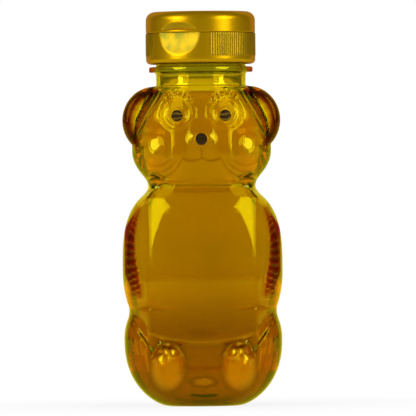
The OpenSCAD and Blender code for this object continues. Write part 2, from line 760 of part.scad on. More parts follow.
module cap_lid() {
    inner_round = lid_round - lid_t;
    roof_z = lid_top_z - lid_t;
    plug_r = spout_r - plug_gap;
    plug_z = spout_top_z - plug_in;
    boss_in = collar_r + collar_gap;
    boss_half = sqrt(cap_r * cap_r - pow(cap_r - thumb_lid_in, 2)) + 2;
    color(cap_tint)
        difference() {
            union() {
                rotate_extrude($fn = 128) polygon(concat(
                    [[lid_bore_r, lid_z], [cap_r - 0.15, lid_z], [cap_r, lid_z + 0.15]],
                    arc(cap_r - lid_round, lid_top_z - lid_round, lid_round, 0, 90),
                    [[0, lid_top_z], [0, roof_z - 0.2],
                     [plug_r - 1.2, roof_z - 0.2], [plug_r - 1.2, plug_z],
                     [plug_r - 0.3, plug_z], [plug_r, plug_z + 0.5], [plug_r, roof_z]],
                    arc(lid_bore_r - inner_round, roof_z - inner_round, inner_round, 90, 0)));
                intersection() {
                    rotate_extrude($fn = 128) polygon([
                        [boss_in, lid_z], [lid_bore_r + 0.3, lid_z],
                        [lid_bore_r + 0.3, lid_z + thumb_lid_h + 1.2],
                        [lid_bore_r, lid_z + thumb_lid_h + 1.2],
                        [boss_in, lid_z + thumb_lid_h]]);
                    rotate([0, 0, -thumb_yaw])
                        translate([-boss_half, -cap_r, 0]) cube([2 * boss_half, cap_r, lid_top_z]);
                }
            }
            intersection() {
                thumb_cutter(thumb_lid_h, thumb_lid_in);
                slab(lid_z + thumb_lip_t, lid_top_z);
            }
        }
}

bottle();
left_eye();
right_eye();
nose_tip();
seal_liner();
cap_base();
living_hinge();
cap_lid();
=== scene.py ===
import math
from types import SimpleNamespace
import bmesh
import bpy
from mathutils import Matrix, Vector


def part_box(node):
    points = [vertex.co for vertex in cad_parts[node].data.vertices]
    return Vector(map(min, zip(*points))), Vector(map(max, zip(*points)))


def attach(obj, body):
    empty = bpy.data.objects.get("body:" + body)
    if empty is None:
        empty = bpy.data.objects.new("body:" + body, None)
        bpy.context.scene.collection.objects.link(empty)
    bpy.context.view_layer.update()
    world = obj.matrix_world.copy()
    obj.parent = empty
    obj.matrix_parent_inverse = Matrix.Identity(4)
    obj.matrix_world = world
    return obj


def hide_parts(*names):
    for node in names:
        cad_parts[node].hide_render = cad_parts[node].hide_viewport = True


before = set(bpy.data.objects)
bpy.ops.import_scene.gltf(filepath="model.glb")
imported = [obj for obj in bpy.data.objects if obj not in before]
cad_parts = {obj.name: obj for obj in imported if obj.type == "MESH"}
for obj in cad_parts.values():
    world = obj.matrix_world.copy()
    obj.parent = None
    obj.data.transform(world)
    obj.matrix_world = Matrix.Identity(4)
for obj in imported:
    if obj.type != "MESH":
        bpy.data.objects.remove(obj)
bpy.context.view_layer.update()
mm = 0.001  # sizes below are in millimetres unless a note says otherwise
scene = bpy.context.scene
print("frame loaded:", sorted(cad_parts))


def nodeBox(name):
    low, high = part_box(name)
    return Vector(low) / mm, Vector(high) / mm


bottleLow, bottleHigh = nodeBox("bottle")
baseLow, baseHigh = nodeBox("cap_base")
lidLow, lidHigh = nodeBox("cap_lid")

# Soft steps, bumps and blends that the shapes below are made of


def clamp(t, low=0.0, high=1.0):
    return min(high, max(low, t))


def swell(t, power):  # half of a rounded outline, 1 at 0 and 0 at 1
    return 0.0 if abs(t) >= 1 else (1 - abs(t) ** power) ** (1 / power)


def ramp(t):
    s = clamp(t)
    return s * s * (3 - 2 * s)


def softMax(a, b, k):
    e = min(k, a, b)
    d = e - abs(a - b)
    return max(a, b) + d * d / (4 * e) if d > 0 and e > 0 else max(a, b)


def softMin(a, b, k):
    d = k - abs(a - b)
    return min(a, b) - d * d / (4 * k) if d > 0 else min(a, b)


def softMaxAll(values, k):
    top = values[-1]
    for value in reversed(values[:-1]):
        top = softMax(value, top, k)
    return top


def bell(d, r):
    return 0.0 if d >= r else math.cos(math.pi / 2 * d / r) ** 2


def mesa(d, edge):
    return ramp((1 - d) / edge)


def segmentDistance(x, z, x0, z0, x1, z1):
    dx, dz = x1 - x0, z1 - z0
    t = clamp(((x - x0) * dx + (z - z0) * dz) / (dx * dx + dz * dz))
    return math.hypot(x - x0 - t * dx, z - z0 - t * dz)


# Meshes


def finishMesh(name, bm, body, sharpAngle=None):
    mesh = bpy.data.meshes.new(name)
    bm.to_mesh(mesh)
    bm.free()
    mesh.shade_smooth()
    if sharpAngle:
        mesh.set_sharp_from_angle(angle=math.radians(sharpAngle))
    piece = bpy.data.objects.new(name, mesh)
    scene.collection.objects.link(piece)
    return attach(piece, body)


def wrapGrid(rows, tintFor=None):  # a grid over rows of points, closed round the last column and at both ends
    columns = len(rows[0]) - 1
    bm = bmesh.new()
    bmesh.ops.create_grid(bm, x_segments=columns, y_segments=len(rows) - 1, size=1)
    if tintFor:
        bm.verts.layers.float_color.new("tint")
        bm.verts.layers.float.new("gloss")
        tint, gloss = bm.verts.layers.float_color["tint"], bm.verts.layers.float["gloss"]
    for vert in bm.verts:
        column = round((vert.co.x + 1) / 2 * columns)
        row = round((vert.co.y + 1) / 2 * (len(rows) - 1))
        vert.co = Vector(rows[row][column]) * mm
        if tintFor:
            vert[tint] = tintFor(*rows[row][column], row)
            vert[gloss] = glossAt(*rows[row][column])
    bmesh.ops.remove_doubles(bm, verts=bm.verts, dist=1e-7)
    bmesh.ops.dissolve_degenerate(bm, dist=1e-8, edges=bm.edges)
    bmesh.ops.recalc_face_normals(bm, faces=bm.faces)
    return bm


def spinProfile(points, steps):
    bm = bmesh.new()
    verts = [bm.verts.new((x * mm, 0, z * mm)) for x, z in points]
    edges = [bm.edges.new(pair) for pair in zip(verts, verts[1:])]
    bmesh.ops.spin(bm, geom=verts + edges, cent=(0, 0, 0), axis=(0, 0, 1), angle=math.tau, steps=steps,
                   use_merge=True, use_duplicate=False)
    bmesh.ops.remove_doubles(bm, verts=bm.verts, dist=1e-7)
    bmesh.ops.dissolve_degenerate(bm, dist=1e-8, edges=bm.edges)
    bmesh.ops.recalc_face_normals(bm, faces=bm.faces)
    return bm


def arc(cx, cz, r, start, end, count=8):
    angles = [math.radians(start + (end - start) * k / count) for k in range(count + 1)]
    return [(cx + r * math.cos(a), cz + r * math.sin(a)) for a in angles]


def line(x0, z0, x1, z1, count):
    return [(x0 + (x1 - x0) * k / count, z0 + (z1 - z0) * k / count) for k in range(count + 1)]


# The bear's body: five forms, one for each mass, and the relief that stands on them

bear = SimpleNamespace(**{
    "wall": 1.0, "footExtra": 1.0, "floor": 1.5, "pushup": 2.5, "blend": 3.0,
    "footHalfWidth": 14.0, "footHalfDepth": 12.0, "footCurve": 2.4, "footEase": 1.5,
    "hipHalfWidth": 30.8, "hipFront": 20.8, "hipBack": 25.0, "hipHeight": 26.5, "hipRise": 24.6, "hipPower": 2.3,
    "bellyHalfWidth": 31.2, "bellyFront": 24.5, "bellyBack": 24.0, "bellyHeight": 53.5, "bellyDrop": 32.5,
    "bellyRise": 34.0, "shoulderRise": 33.0, "shoulderPower": 5.0, "trunkPower": 2.2, "sideLow": 2.3, "sideHigh": 3.0, "trunkDeep": 6.0,
    "panelCut": 0.5, "panelRadius": 46.0, "panelBow": 300.0, "panelHalfWidth": 21.3, "sideEase": 0.55,
    "edgeShare": 0.9, "panelLow": 24.6, "panelSmile": 2.8, "apronIn": 1.1, "foldBlend": 1.4,
    "throatHalfWidth": 21.0, "throatHalfDepth": 17.6, "throatHeight": 86.0, "throatPower": 3.0,
    "cheekHalfWidth": 27.1, "headFront": 21.4, "headBack": 23.0, "cheekHeight": 99.6, "headDrop": 18.0,
    "headRise": 32.5, "headPower": 2.1, "chinPower": 2.7, "faceRadius": 60.0, "cheekEase": 0.6,
    "earX": 18.3, "earHeight": 111.3, "earHalfWidth": 12.5, "earHalfHeight": 13.2, "earRim": 3.4, "earWeb": 2.0,
    "eyeX": 9.4, "eyeHeight": 112.9, "pupil": 4.4, "eyeOut": 1.4, "browRadius": 7.2, "browOut": 0.7,
    "muzzleHalfWidth": 12.0, "muzzleOut": 0.4, "noseHeight": 103.7, "nose": 4.6, "snoutOut": 3.0, "cheekOut": 2.0,
    "armOut": 0.9, "armLow": 41.0, "armHigh": 79.0, "thighOut": 1.0,
    "footX": 13.9, "footHeight": 15.4, "soleHalfWidth": 7.4, "soleHalfHeight": 10.2, "soleOut": 4.4, "toeOut": 1.2,
    "tailWidth": 9.0, "tailOut": 1.2, "tailHeight": 11.0, "tailHalfHeight": 3.4,
    "neckHeight": 124.6, "neckRadius": 17.45, "boreRadius": 15.9, "shelf": 0.3,
    "ringRadius": 20.2, "ringUp": 5.3, "ringThick": 2.1,
    "threadRadius": 18.65, "pitch": 4.233, "turns": 1.25, "threadRoot": 2.4, "threadCrest": 0.9,
    "innerShare": 0.6, "fadeDepth": 6.0, "sideAngle": 68.0,
})
bear.domeHeight = bear.eyeHeight + 1.2
bear.browX = bear.eyeX + 0.8
bear.crease = bear.eyeHeight - 1.6
bear.muzzleTop = bear.eyeHeight - 3.4
bear.cheekX = bear.cheekHalfWidth - 8
bear.thighX = bear.hipHalfWidth - 10.2
bear.thighHeight = bear.hipHeight - 2.1
bear.lip = bottleHigh.z
bear.ringLow = bear.neckHeight + bear.ringUp


def forms(z, skin):
    b = bear
    t = clamp(z / b.hipHeight)
    grow = (1 - (1 - t) ** b.footCurve) ** (1 / b.footEase)
    s = swell(max(0, z - b.hipHeight) / b.hipRise, 2)
    hips = [(b.footHalfWidth + (b.hipHalfWidth - b.footHalfWidth) * grow) * s,
            (b.footHalfDepth + (b.hipFront - b.footHalfDepth) * grow) * s,
            (b.footHalfDepth + (b.hipBack - b.footHalfDepth) * grow) * s, b.hipPower]
    low = z < b.bellyHeight
    t = (z - b.bellyHeight) / (b.bellyDrop if low else b.bellyRise)
    front = swell(t, b.trunkDeep) if low else swell((z - b.bellyHeight) / b.shoulderRise, b.shoulderPower)
    trunk = [b.bellyHalfWidth * swell(t, b.sideLow if low else b.sideHigh), b.bellyFront * front,
             b.bellyBack * swell(t, b.trunkDeep), b.trunkPower]
    s = swell((z - b.throatHeight) / (b.throatHeight - b.hipHeight), 2)
    throat = [b.throatHalfWidth * s, b.throatHalfDepth * s, b.throatHalfDepth * s, b.throatPower]
    s = swell((z - b.cheekHeight) / (b.headDrop if z < b.cheekHeight else b.headRise), 2)
    chin = swell((z - b.cheekHeight) / b.headDrop, b.chinPower) if z < b.cheekHeight else s
    head = [b.cheekHalfWidth * s, b.headFront * chin, b.headBack * s, b.headPower]
    r = b.neckRadius + b.shelf if z > b.throatHeight else 0
    neck = [r, r, r, 2]
    return [[max(0, f[0] - skin), max(0, f[1] - skin), max(0, f[2] - skin), f[3]]
            for f in (hips, trunk, throat, head, neck)]


def panelDrop(x):
    return bear.panelRadius - math.sqrt(max(0, bear.panelRadius ** 2 - x * x))


def trunkFront(x, ring, skin):  # the label panel, then flat sides that run back from its upright edges
    b = bear
    halfWidth, front = ring.forms[1][0], ring.forms[1][1]
    if front <= 0 or x >= halfWidth:
        return 0.0
    edge = min(b.panelHalfWidth - skin, b.edgeShare * halfWidth)
    bow = (ring.z - b.bellyHeight) ** 2 / (2 * b.panelBow)
    face = softMin(front, b.bellyFront - skin - b.panelCut - bow, 0.5 + ramp((b.bellyHeight - ring.z) / 20))
    flat = max(0, face - panelDrop(min(x, edge + 1)))
    corner = max(0, face - panelDrop(edge))
    return softMin(flat, corner * ((halfWidth - x) / (halfWidth - edge)) ** b.sideEase, 0.5)


def headFront(x, ring, skin):  # a flatter face between the cheeks, up to the eyes
    b = bear
    halfWidth, front, power = ring.forms[3][0], ring.forms[3][1], ring.forms[3][3]
    if front <= 0 or x >= halfWidth:
        return 0.0
    full = front * swell(x / halfWidth, power)
    edge = min(b.muzzleHalfWidth - skin, b.edgeShare * halfWidth)
    flat = front - min(x, edge + 1) ** 2 / (2 * b.faceRadius)
    corner = front - edge ** 2 / (2 * b.faceRadius)
    faceted = softMin(flat, corner * ((halfWidth - x) / (halfWidth - edge)) ** b.cheekEase, 0.5)
    return full + (faceted - full) * ramp((b.muzzleTop + 2 - ring.z) / 8)


def apron(m, z):  # the body is cut back under the panel, whose lower edge is a smile above the feet
    b = bear
    end = b.panelLow + b.panelSmile * (m / b.panelHalfWidth) ** 2
    return b.apronIn * ramp((end - z) / 1.6 + 0.5) * ramp((b.panelHalfWidth - m) / 3) * ramp((z - 10) / 8)


def coreDepth(x, z, ring, side, skin):
    depths = [f[side] * swell(x * ring.scale / f[0], f[3]) if f[0] > 0 else 0 for f in ring.forms]
    if side == 2:
        return softMaxAll(depths, bear.blend)
    depths[1] = trunkFront(abs(x) * ring.scale, ring, skin)
    depths[3] = headFront(abs(x) * ring.scale, ring, skin)
    return softMaxAll(depths, bear.foldBlend) - apron(abs(x), z)


def earDepth(x, z, skin):
    b = bear
    tube = b.earRim - skin
    q = math.hypot((abs(x) - b.earX) / b.earHalfWidth, (z - b.earHeight) / b.earHalfHeight) * b.earHalfWidth
    middle = b.earHalfWidth - b.earRim
    rim = tube * swell((q - middle) / tube, 2)
    return softMax(rim, b.earWeb - skin, 1) if q < middle else rim


# Hairs cut in the arms, thighs and brows: start and end of each stroke on the right-hand side, then its height
strokes = {
    "width": 0.8,
    "arm": [(24.6, 74.5, 26.8, 77.0, 0.35), (24.2, 72.2, 26.6, 74.8, 0.4), (24.0, 69.8, 26.5, 72.6, 0.45),
            (24.3, 67.4, 27.2, 70.6, 0.45), (25.2, 65.4, 28.0, 68.2, 0.4), (26.2, 62.8, 29.3, 64.4, 0.4),
            (26.6, 60.4, 29.6, 61.2, 0.4), (26.6, 58.0, 29.4, 58.2, 0.4), (26.0, 55.2, 29.2, 54.6, 0.45),
            (25.2, 52.8, 28.8, 51.4, 0.45), (24.6, 50.4, 28.2, 49.0, 0.5), (24.4, 48.0, 27.8, 46.6, 0.5),
            (24.6, 45.6, 27.6, 44.4, 0.5), (25.2, 43.4, 27.6, 42.6, 0.45)],
    "thigh": [(24.6, 26.0, 23.4, 20.2, 0.3), (26.2, 26.4, 25.4, 20.6, 0.3), (27.8, 26.6, 27.4, 21.6, 0.25),
              (22.6, 22.2, 21.4, 14.2, 0.35)],
    "brow": [(5.2, 118.6, 4.4, 119.6, 0.3), (6.6, 119.9, 6.0, 121.2, 0.35), (8.2, 120.7, 7.9, 122.1, 0.35),
             (9.9, 121.1, 10.0, 122.5, 0.35), (11.6, 120.9, 12.2, 122.2, 0.35), (13.2, 120.1, 14.2, 121.2, 0.3)],
}


def strokeRelief(m, z, kind):
    width = strokes["width"]
    return sum(h * bell(segmentDistance(m, z, x0, z0, x1, z1), width) for x0, z0, x1, z1, h in strokes[kind]
               if min(z0, z1) - 1 < z < max(z0, z1) + 1 and min(x0, x1) - 1 < m < max(x0, x1) + 1)


def soleRelief(m, z):
    b = bear
    q = math.hypot((m - b.footX) / b.soleHalfWidth, (z - b.footHeight) / b.soleHalfHeight)
    if q > 1.4:
        return 0.0
    toes = 0.0
    for angle in (28, 69, 111, 152):
        a = math.radians(angle)
        tx = b.footX + 0.62 * b.soleHalfWidth * math.cos(a)
        tz = b.footHeight + 0.7 * b.soleHalfHeight * math.sin(a)
        toes = max(toes, b.toeOut * bell(math.hypot(m - tx, z - tz), 2.9))
    return b.soleOut * mesa(q, 0.6) + toes


def thighRelief(m, z):
    b = bear
    slope = math.radians(55)
    q = (m - b.thighX) * math.sin(slope) - (z - b.thighHeight) * math.cos(slope)
    return b.thighOut * ramp(q / (1.5 + 0.6 * max(0, 23 - z))) * ramp(z / 8) * ramp((b.hipHeight + 13 - z) / 5)


def armEdge(z):
    t = (z - bear.armLow) / (bear.armHigh - bear.armLow)
    return bear.bellyHalfWidth - 6.6 - 1.6 * math.cos(math.radians(300 * t)) - 1.2 * t


def armRelief(m, z):
    b = bear
    t = (z - b.armLow) / (b.armHigh - b.armLow)
    if not 0 < t < 1 or m < 18:
        return 0.0
    return b.armOut * ramp((m - armEdge(z)) / 2) * ramp(t / 0.08) * ramp((1 - t) / 0.12)


def faceRelief(x, z):
    b = bear
    m = abs(x)
    if z < b.throatHeight:
        return 0.0
    eye = math.hypot(m - b.eyeX, z - b.domeHeight)
    brow = math.hypot(m - b.browX, z - b.domeHeight)
    out = b.eyeOut * mesa(eye / 4.8, 0.6)
    browSide = ramp((abs(m - b.browX) / b.browRadius - 0.2) / 0.5)
    out += b.browOut * bell(abs(brow - b.browRadius), 2.4) * browSide * ramp((z - b.crease) / 1.6 + 0.5)
    out += (b.muzzleOut * ramp((b.muzzleHalfWidth - m) / 1.6 + 0.5) * ramp((b.muzzleTop - z) / 6)
            * ramp((z - b.throatHeight - 4) / 9))
    out += b.snoutOut * bell(math.hypot(m, 0.8 * (z - b.noseHeight + 0.6)), 7)
    out += b.cheekOut * bell(math.hypot(m - b.cheekX, z - b.cheekHeight - 2), 5.6)
    return out


mouth = {"height": 96.4, "halfWidth": 7.6, "drop": 1.1, "width": 0.7, "depth": 0.3, "lipTop": 101.2}


def mouthRelief(x, z):  # two shallow smiles that meet under the nose
    m = abs(x)
    w = mouth["halfWidth"]
    if m > w + 1 or not 93 < z < 102:
        return 0.0
    smile = mouth["height"] - mouth["drop"] * math.sin(math.pi * clamp(m / w))
    groove = bell(abs(z - smile), mouth["width"]) * ramp((w - m) / 1.5 + 0.5)
    groove = max(groove, bell(m, mouth["width"]) * ramp((mouth["lipTop"] - z) / 2) * ramp((z - mouth["height"]) / 1))
    return -mouth["depth"] * groove


def frontRelief(x, z):
    m = abs(x)
    return soleRelief(m, z) + thighRelief(m, z) + armRelief(m, z) + faceRelief(x, z)


def backRelief(x, z):
    b = bear
    m = abs(x)
    tail = b.tailOut * mesa(math.hypot(m / (b.tailWidth / 2), (z - b.tailHeight) / b.tailHalfHeight), 0.7)
    return thighRelief(m, z) + armRelief(m, z) + tail


toes = {"spots": [(16.4, 18.6), (14.6, 21.7), (11.7, 21.6), (13.3, 19.0)]}
# Facets that mirror the lights: place, half width and height, and 1 where it leans to the nearer light
facets = [(18.4, 101.6, 1.7, 2.5, 1), (16.4, 18.6, 0.8, 1.3, 1), (14.4, 21.4, 0.6, 0.9, 1), (11.7, 21.6, 0.9, 0.7, -1),
          (13.3, 19.2, 0.6, 1.0, -1)]
facetSlope = (0.47, 0.25)


def facetRelief(h, m, z):
    for (fx, fz, halfWidth, halfHeight, lean), level in zip(facets, facetLevels):
        q = math.hypot((m - fx) / halfWidth, (z - fz) / halfHeight)
        if q < 1.4:
            flat = level - facetSlope[0] * lean * (m - fx) - facetSlope[1] * (z - fz)
            h += (flat - h) * mesa(q / 1.4, 0.4)
    return h


def fineRelief(x, z, side):  # carving that only the outer skin has
    m = abs(x)
    out = strokeRelief(m, z, "arm") + strokeRelief(m, z, "thigh")
    if side == 1:
        out += strokeRelief(m, z, "brow") + mouthRelief(x, z)
        out += 0.62 * bell(abs(math.hypot(m - bear.eyeX, z - bear.eyeHeight - 0.6) - 4.9), 1.7)
        out += 0.55 * bell(segmentDistance(m, z, 15.4, 122.4, 24.8, 106.5), 0.9)
        out += 0.45 * bell(segmentDistance(m, z, 17.6, 122.2, 26.4, 107.2), 0.8)
    return out


def levelSpot(h, d, r, level):
    return level if d < r + 0.6 else min(h, level) if d < r + 1.3 else h


def makeRing(z, skin):
    ring = SimpleNamespace(forms=forms(z, skin), z=z)
    ring.core = softMaxAll([f[0] for f in ring.forms], bear.blend)
    ring.scale = max(f[0] for f in ring.forms) / ring.core
    s = swell((z - bear.earHeight) / (bear.earHalfHeight - skin), 2)
    ring.full = max(ring.core, bear.earX + (bear.earHalfWidth - skin) * s if s > 0 else 0)
    return ring


def rawFront(x, z):
    return coreDepth(x, z, makeRing(z, 0), 1, 0) + frontRelief(x, z)


eyeFlat = rawFront(bear.eyeX, bear.domeHeight)
noseFlat = rawFront(0, bear.noseHeight)
facetLevels = [rawFront(facet[0], facet[1]) for facet in facets]


def depthAt(x, z, ring, side, skin):
    core = coreDepth(x, z, ring, side, skin)
    relief = frontRelief(x, z) if side == 1 else backRelief(x, z)
    share = bear.innerShare if skin > 0 else 1
    h = core + share * relief * min(1, core / bear.fadeDepth)
    if skin == 0:
        h += fineRelief(x, z, side) * min(1, core / bear.fadeDepth)
        if side == 1:
            h = facetRelief(h, abs(x), z)
            h = levelSpot(h, math.hypot(abs(x) - bear.eyeX, z - bear.eyeHeight), bear.pupil / 2, eyeFlat)
            h = levelSpot(h, math.hypot(x, z - bear.noseHeight), bear.nose / 2, noseFlat)
    return softMax(h, earDepth(x, z, skin), 2)


def columnAngles(front, back):  # from -X round the front to +X, and back behind
    return ([(180 * i / front - 90, 1) for i in range(front + 1)]
            + [(90 - 180 * i / back, 2) for i in range(1, back + 1)])


def bodyRow(columns, z, skin=0, share=1, atZ=None):
    ring = makeRing(z, skin)
    side = math.radians(bear.sideAngle)
    points = []
    for degrees, face in columns:
        u = math.radians(abs(degrees))
        x = ring.core * math.sin(u)
        if u > side:
            inner = ring.core * math.sin(side)
            x = inner + (ring.full - inner) * (math.sin(u) - math.sin(side)) / (1 - math.sin(side))
        x = math.copysign(x, degrees)
        y = 0 if abs(degrees) > 89.9 else depthAt(x, z, ring, face, skin)
        points.append((share * x, share * (-y if face == 1 else y), z if atZ is None else atZ))
    return points


def threadOut(angle, z):  # height of the screw thread on the neck
    b = bear
    start = b.ringLow + b.ringThick + 3.1
    best = 0.0
    for turn in (0, 360):
        a = angle % 360 + turn
        if a <= 360 * b.turns:
            taper = clamp(min(a, 360 * b.turns - a) / 40, 0.0, 1.0)
            d = abs(z - start - b.pitch * a / 360)
            best = max(best, taper * clamp((b.threadRoot / 2 - d) / (b.threadRoot / 2 - b.threadCrest / 2)))
    return best * (b.threadRadius - b.neckRadius)


def roundRow(columns, r, z, threaded=False):
    points = []
    for degrees, face in columns:
        u = math.radians(degrees)
        x, y = math.sin(u), math.cos(u) * (-1 if face == 1 else 1)
        out = r + (threadOut(math.degrees(math.atan2(y, x)), z) if threaded else 0)
        points.append((out * x, out * y, z))
    return points


def wallAt(z):
    return bear.wall * (1 + bear.footExtra * max(0, 1 - z / 8))


def heights(start, end, count):
    return [start + (end - start) * k / count for k in range(count)]


def makeBottle():
    b = bear
    columns = columnAngles(240, 60)
    rows = [bodyRow(columns, 0, 0, share, b.pushup * s)
            for share, s in ((0.0, 1.0), (0.2, 0.97), (0.45, 0.88), (0.62, 0.6), (0.75, 0.2), (0.84, 0.02))]
    rows += [bodyRow(columns, z) for z in heights(0, 28.5, 60) + heights(28.5, 86, 68) + heights(86, b.neckHeight, 106)]
    r, low, t = b.neckRadius, b.ringLow, b.ringThick
    neck = [(r + 0.3, b.neckHeight), (r + 0.1, b.neckHeight + 0.1), (r, b.neckHeight + 0.35)]
    neck += line(r, b.neckHeight + 1, r, low - 1, 3)
    neck += [(r + 0.1, low - 0.6), (r + 0.35, low - 0.3), (r + 0.8, low), (b.ringRadius - 0.5, low)]
    neck += arc(b.ringRadius - 0.5, low + 0.5, 0.5, -60, 0, 2) + arc(b.ringRadius - 0.5, low + t - 0.5, 0.5, 0, 60, 2)
    neck += [(b.ringRadius - 0.5, low + t), (r + 0.5, low + t), (r + 0.1, low + t + 0.1), (r, low + t + 0.4)]
    rows += [roundRow(columns, x, z) for x, z in neck]
    rows += [roundRow(columns, r, z, True) for z in heights(low + t + 1.2, b.lip - 0.6, 20)]
    lip = [(r, b.lip - 0.4), (r - 0.12, b.lip - 0.12), (r - 0.4, b.lip), (b.boreRadius + 0.4, b.lip),
           (b.boreRadius + 0.12, b.lip - 0.12), (b.boreRadius, b.lip - 0.4)]
    lip += line(b.boreRadius, b.lip - 2, b.boreRadius, b.neckHeight - 0.4, 3)
    rows += [roundRow(columns, x, z) for x, z in lip]
    outside = len(rows)
    inner = [b.neckHeight - 1.4 - (b.neckHeight - 2.4 - b.floor) * (k / 40) for k in range(41)]
    rows += [bodyRow(columns, z - 1.0 * (k == 0), wallAt(z)) for k, z in enumerate(inner)]
    rows += [bodyRow(columns, b.floor, wallAt(b.floor), share, b.floor + b.pushup * s)
             for share, s in ((0.84, 0.02), (0.7, 0.3), (0.45, 0.88), (0.0, 1.0))]
    return wrapGrid(rows, lambda x, y, z, row: tintAt(x, y, z, row < outside))


# Tints of the wall, as linear colours: the body, painted shade at the bear's base, painted light on the soles and toes,
# painted highlights on the hair strokes, and painted shade, dark red, on the arms and ears
tints = {"body": (0.83, 0.755, 0.02), "head": (0.82, 0.69, 0.02), "lower": (0.75, 0.575, 0.015),
         "low": (0.84, 0.6, 0.015), "front": (0.3, 0.14, 0.004), "foot": (0.3, 0.13, 0.003),
         "thigh": (0.42, 0.13, 0.003), "sole": (1.0, 0.72, 0.02), "toeHighlight": (1.0, 0.98, 0.3),
         "dark": (0.12, 0.04, 0.001), "red": (0.42, 0.1, 0.001), "hairHighlight": (0.95, 0.7, 0.02),
         "band": (0.84, 0.8, 0.02), "ear": (0.95, 0.95, 0.1), "earShade": (0.2, 0.04, 0.0005),
         "neck": (0.74, 0.68, 0.02), "ring": (0.3, 0.32, 0.02), "orangeShading": (1.0, 0.5, 0.01)}


def mixTint(a, b, t):
    return tuple(u + (v - u) * t for u, v in zip(a, b))


def bandTint(colour, name, share):
    return mixTint(colour, tints[name], share)


def oval(x, z, cx, cz, halfWidth, halfHeight):
    return math.hypot((x - cx) / halfWidth, (z - cz) / halfHeight)


def footTint(colour, x, z):  # painted shade and light below the panel: shade on the outer thighs, light on the soles, shadows round the soles and over the toes, highlights on the toes and thigh hairs, a dark ring and light centre for the oval between the feet, and the lines round them, with painted light under the panel
    b = bear
    m = abs(x)
    # painted shade on the outer thighs, and painted highlights along the thigh hairs
    colour = bandTint(colour, "thigh", 0.7 * ramp((m - 20.5) / 3) * ramp((35 - z) / 4))
    colour = bandTint(colour, "hairHighlight", clamp(strokeRelief(m, z, "thigh") * 2))
    q = oval(m, z, b.footX, b.footHeight, b.soleHalfWidth, b.soleHalfHeight)
    # painted shadow round each sole, darkest over its top
    colour = bandTint(colour, "dark", bell(abs(q - 1.02), 0.2) * (0.3 + 0.6 * ramp((z - 19) / 3)))
    # painted light on the soles
    colour = bandTint(colour, "sole", ramp((0.98 - q) / 0.45))
    for tx, tz in toes["spots"]:
        # painted shadow over each toe, then a painted highlight on it
        colour = bandTint(colour, "dark", 0.7 * bell(abs(oval(m, z, tx, tz, 1.5, 2) - 1), 0.4) * ramp((z - tz) / 1))
        colour = bandTint(colour, "toeHighlight", bell(oval(m, z, tx, tz, 1.2, 1.6), 1))
    # the oval between the feet: a painted dark ring with a painted light centre
    q = oval(x, z, 0, 9.6, 6.1, 2.4)
    colour = bandTint(colour, "dark", 0.8 * bell(abs(q - 0.85), 0.26))
    colour = bandTint(colour, "ear", 0.35 * ramp((0.6 - q) / 0.2))
    colour = bandTint(colour, "dark", 0.6 * bell(m, 0.5) * ramp(7 - z) * ramp(z - 1.5))
    # painted light along the panel's lower edge
    rim = b.panelLow + 0.2 + 3.7 * (m / b.panelHalfWidth) ** 2
    colour = bandTint(colour, "ear", 0.5 * bell(abs(z - rim), 1.4) * ramp(22 - m))
    return bandTint(colour, "dark", 0.4 * ramp((1.15 - oval(x, z, 0, 28.6, 5.7, 1.7)) / 0.4))


def trunkTint(colour, m, z):  # thin lines of painted shade: orange at the waist and dark over the panel's corners
    colour = bandTint(colour, "orangeShading", 0.5 * bell(abs(z - 38.2 - 0.04 * m), 0.5) * ramp((m - 9) / 4))
    return bandTint(colour, "dark", 0.5 * bell(abs(z - 82.1), 0.5) * ramp(m - 14) * ramp(21 - m))


def faceTint(colour, x, z):  # painted orange shading on the cheeks and at the chin fold's ends, painted shade in rings round the lower cheeks, in the mouth and along the brow hairs, and the dark line at the honey's level
    m = abs(x)
    # painted orange shading on the cheeks
    colour = bandTint(colour, "orangeShading", 0.7 * bell(oval(m, z, 17.5, 106.5, 6, 8.5), 1))
    colour = bandTint(colour, "orangeShading", 0.6 * bell(oval(m, z, 17, 93.5, 6, 6), 1))
    # painted shade in rings round the lower cheeks
    far = math.hypot(m - 17.5, z - 99)
    for r in (5.6, 8.0, 10.2):
        colour = bandTint(colour, "thigh", 0.5 * bell(abs(far - r), 0.8) * ramp((97 - z) / 3))
    # painted shade in the mouth's groove
    colour = bandTint(colour, "thigh", -0.7 * mouthRelief(x, z) / mouth["depth"])
    # painted shade at the chin fold's ends
    colour = bandTint(colour, "orangeShading", 0.6 * bell(oval(m, z, 19, 87, 4, 3), 1))
    # painted shade along the brow hairs
    colour = bandTint(colour, "dark", clamp(1.6 * strokeRelief(m, z, "brow")))
    return bandTint(colour, "dark", 0.7 * bell(abs(z - 122.3), 0.6) * ramp(5 - m))


def glossAt(x, y, z):  # where the face and the toes shine most
    b = bear
    m = abs(x)
    if y > 0 or not (z < 24 or 96 < z < 134):
        return 0.0
    gloss = [mesa(math.hypot((m - fx) / halfWidth, (z - fz) / halfHeight) / 1.5, 0.3)
             for fx, fz, halfWidth, halfHeight, _ in facets]
    eye = math.hypot(m - b.eyeX, z - b.eyeHeight - 0.6)
    brow = math.hypot(m - b.browX, z - b.domeHeight)
    gloss += [0.5 * bell(abs(eye - 4.2), 2) * ramp((z - b.crease + 2) / 3),
              0.3 * bell(abs(brow - b.browRadius), 1.6) * ramp(z - b.crease) * ramp((121 - z) / 2)]
    gloss += [bell(math.hypot(m - 3.8, z - 104), 3.4), ramp(z - 124.5)]
    gloss += [0.8 * bell(abs(m - b.muzzleHalfWidth), 1.2) * ramp((103 - z) / 2) * ramp(z - 96)]
    return max(gloss)


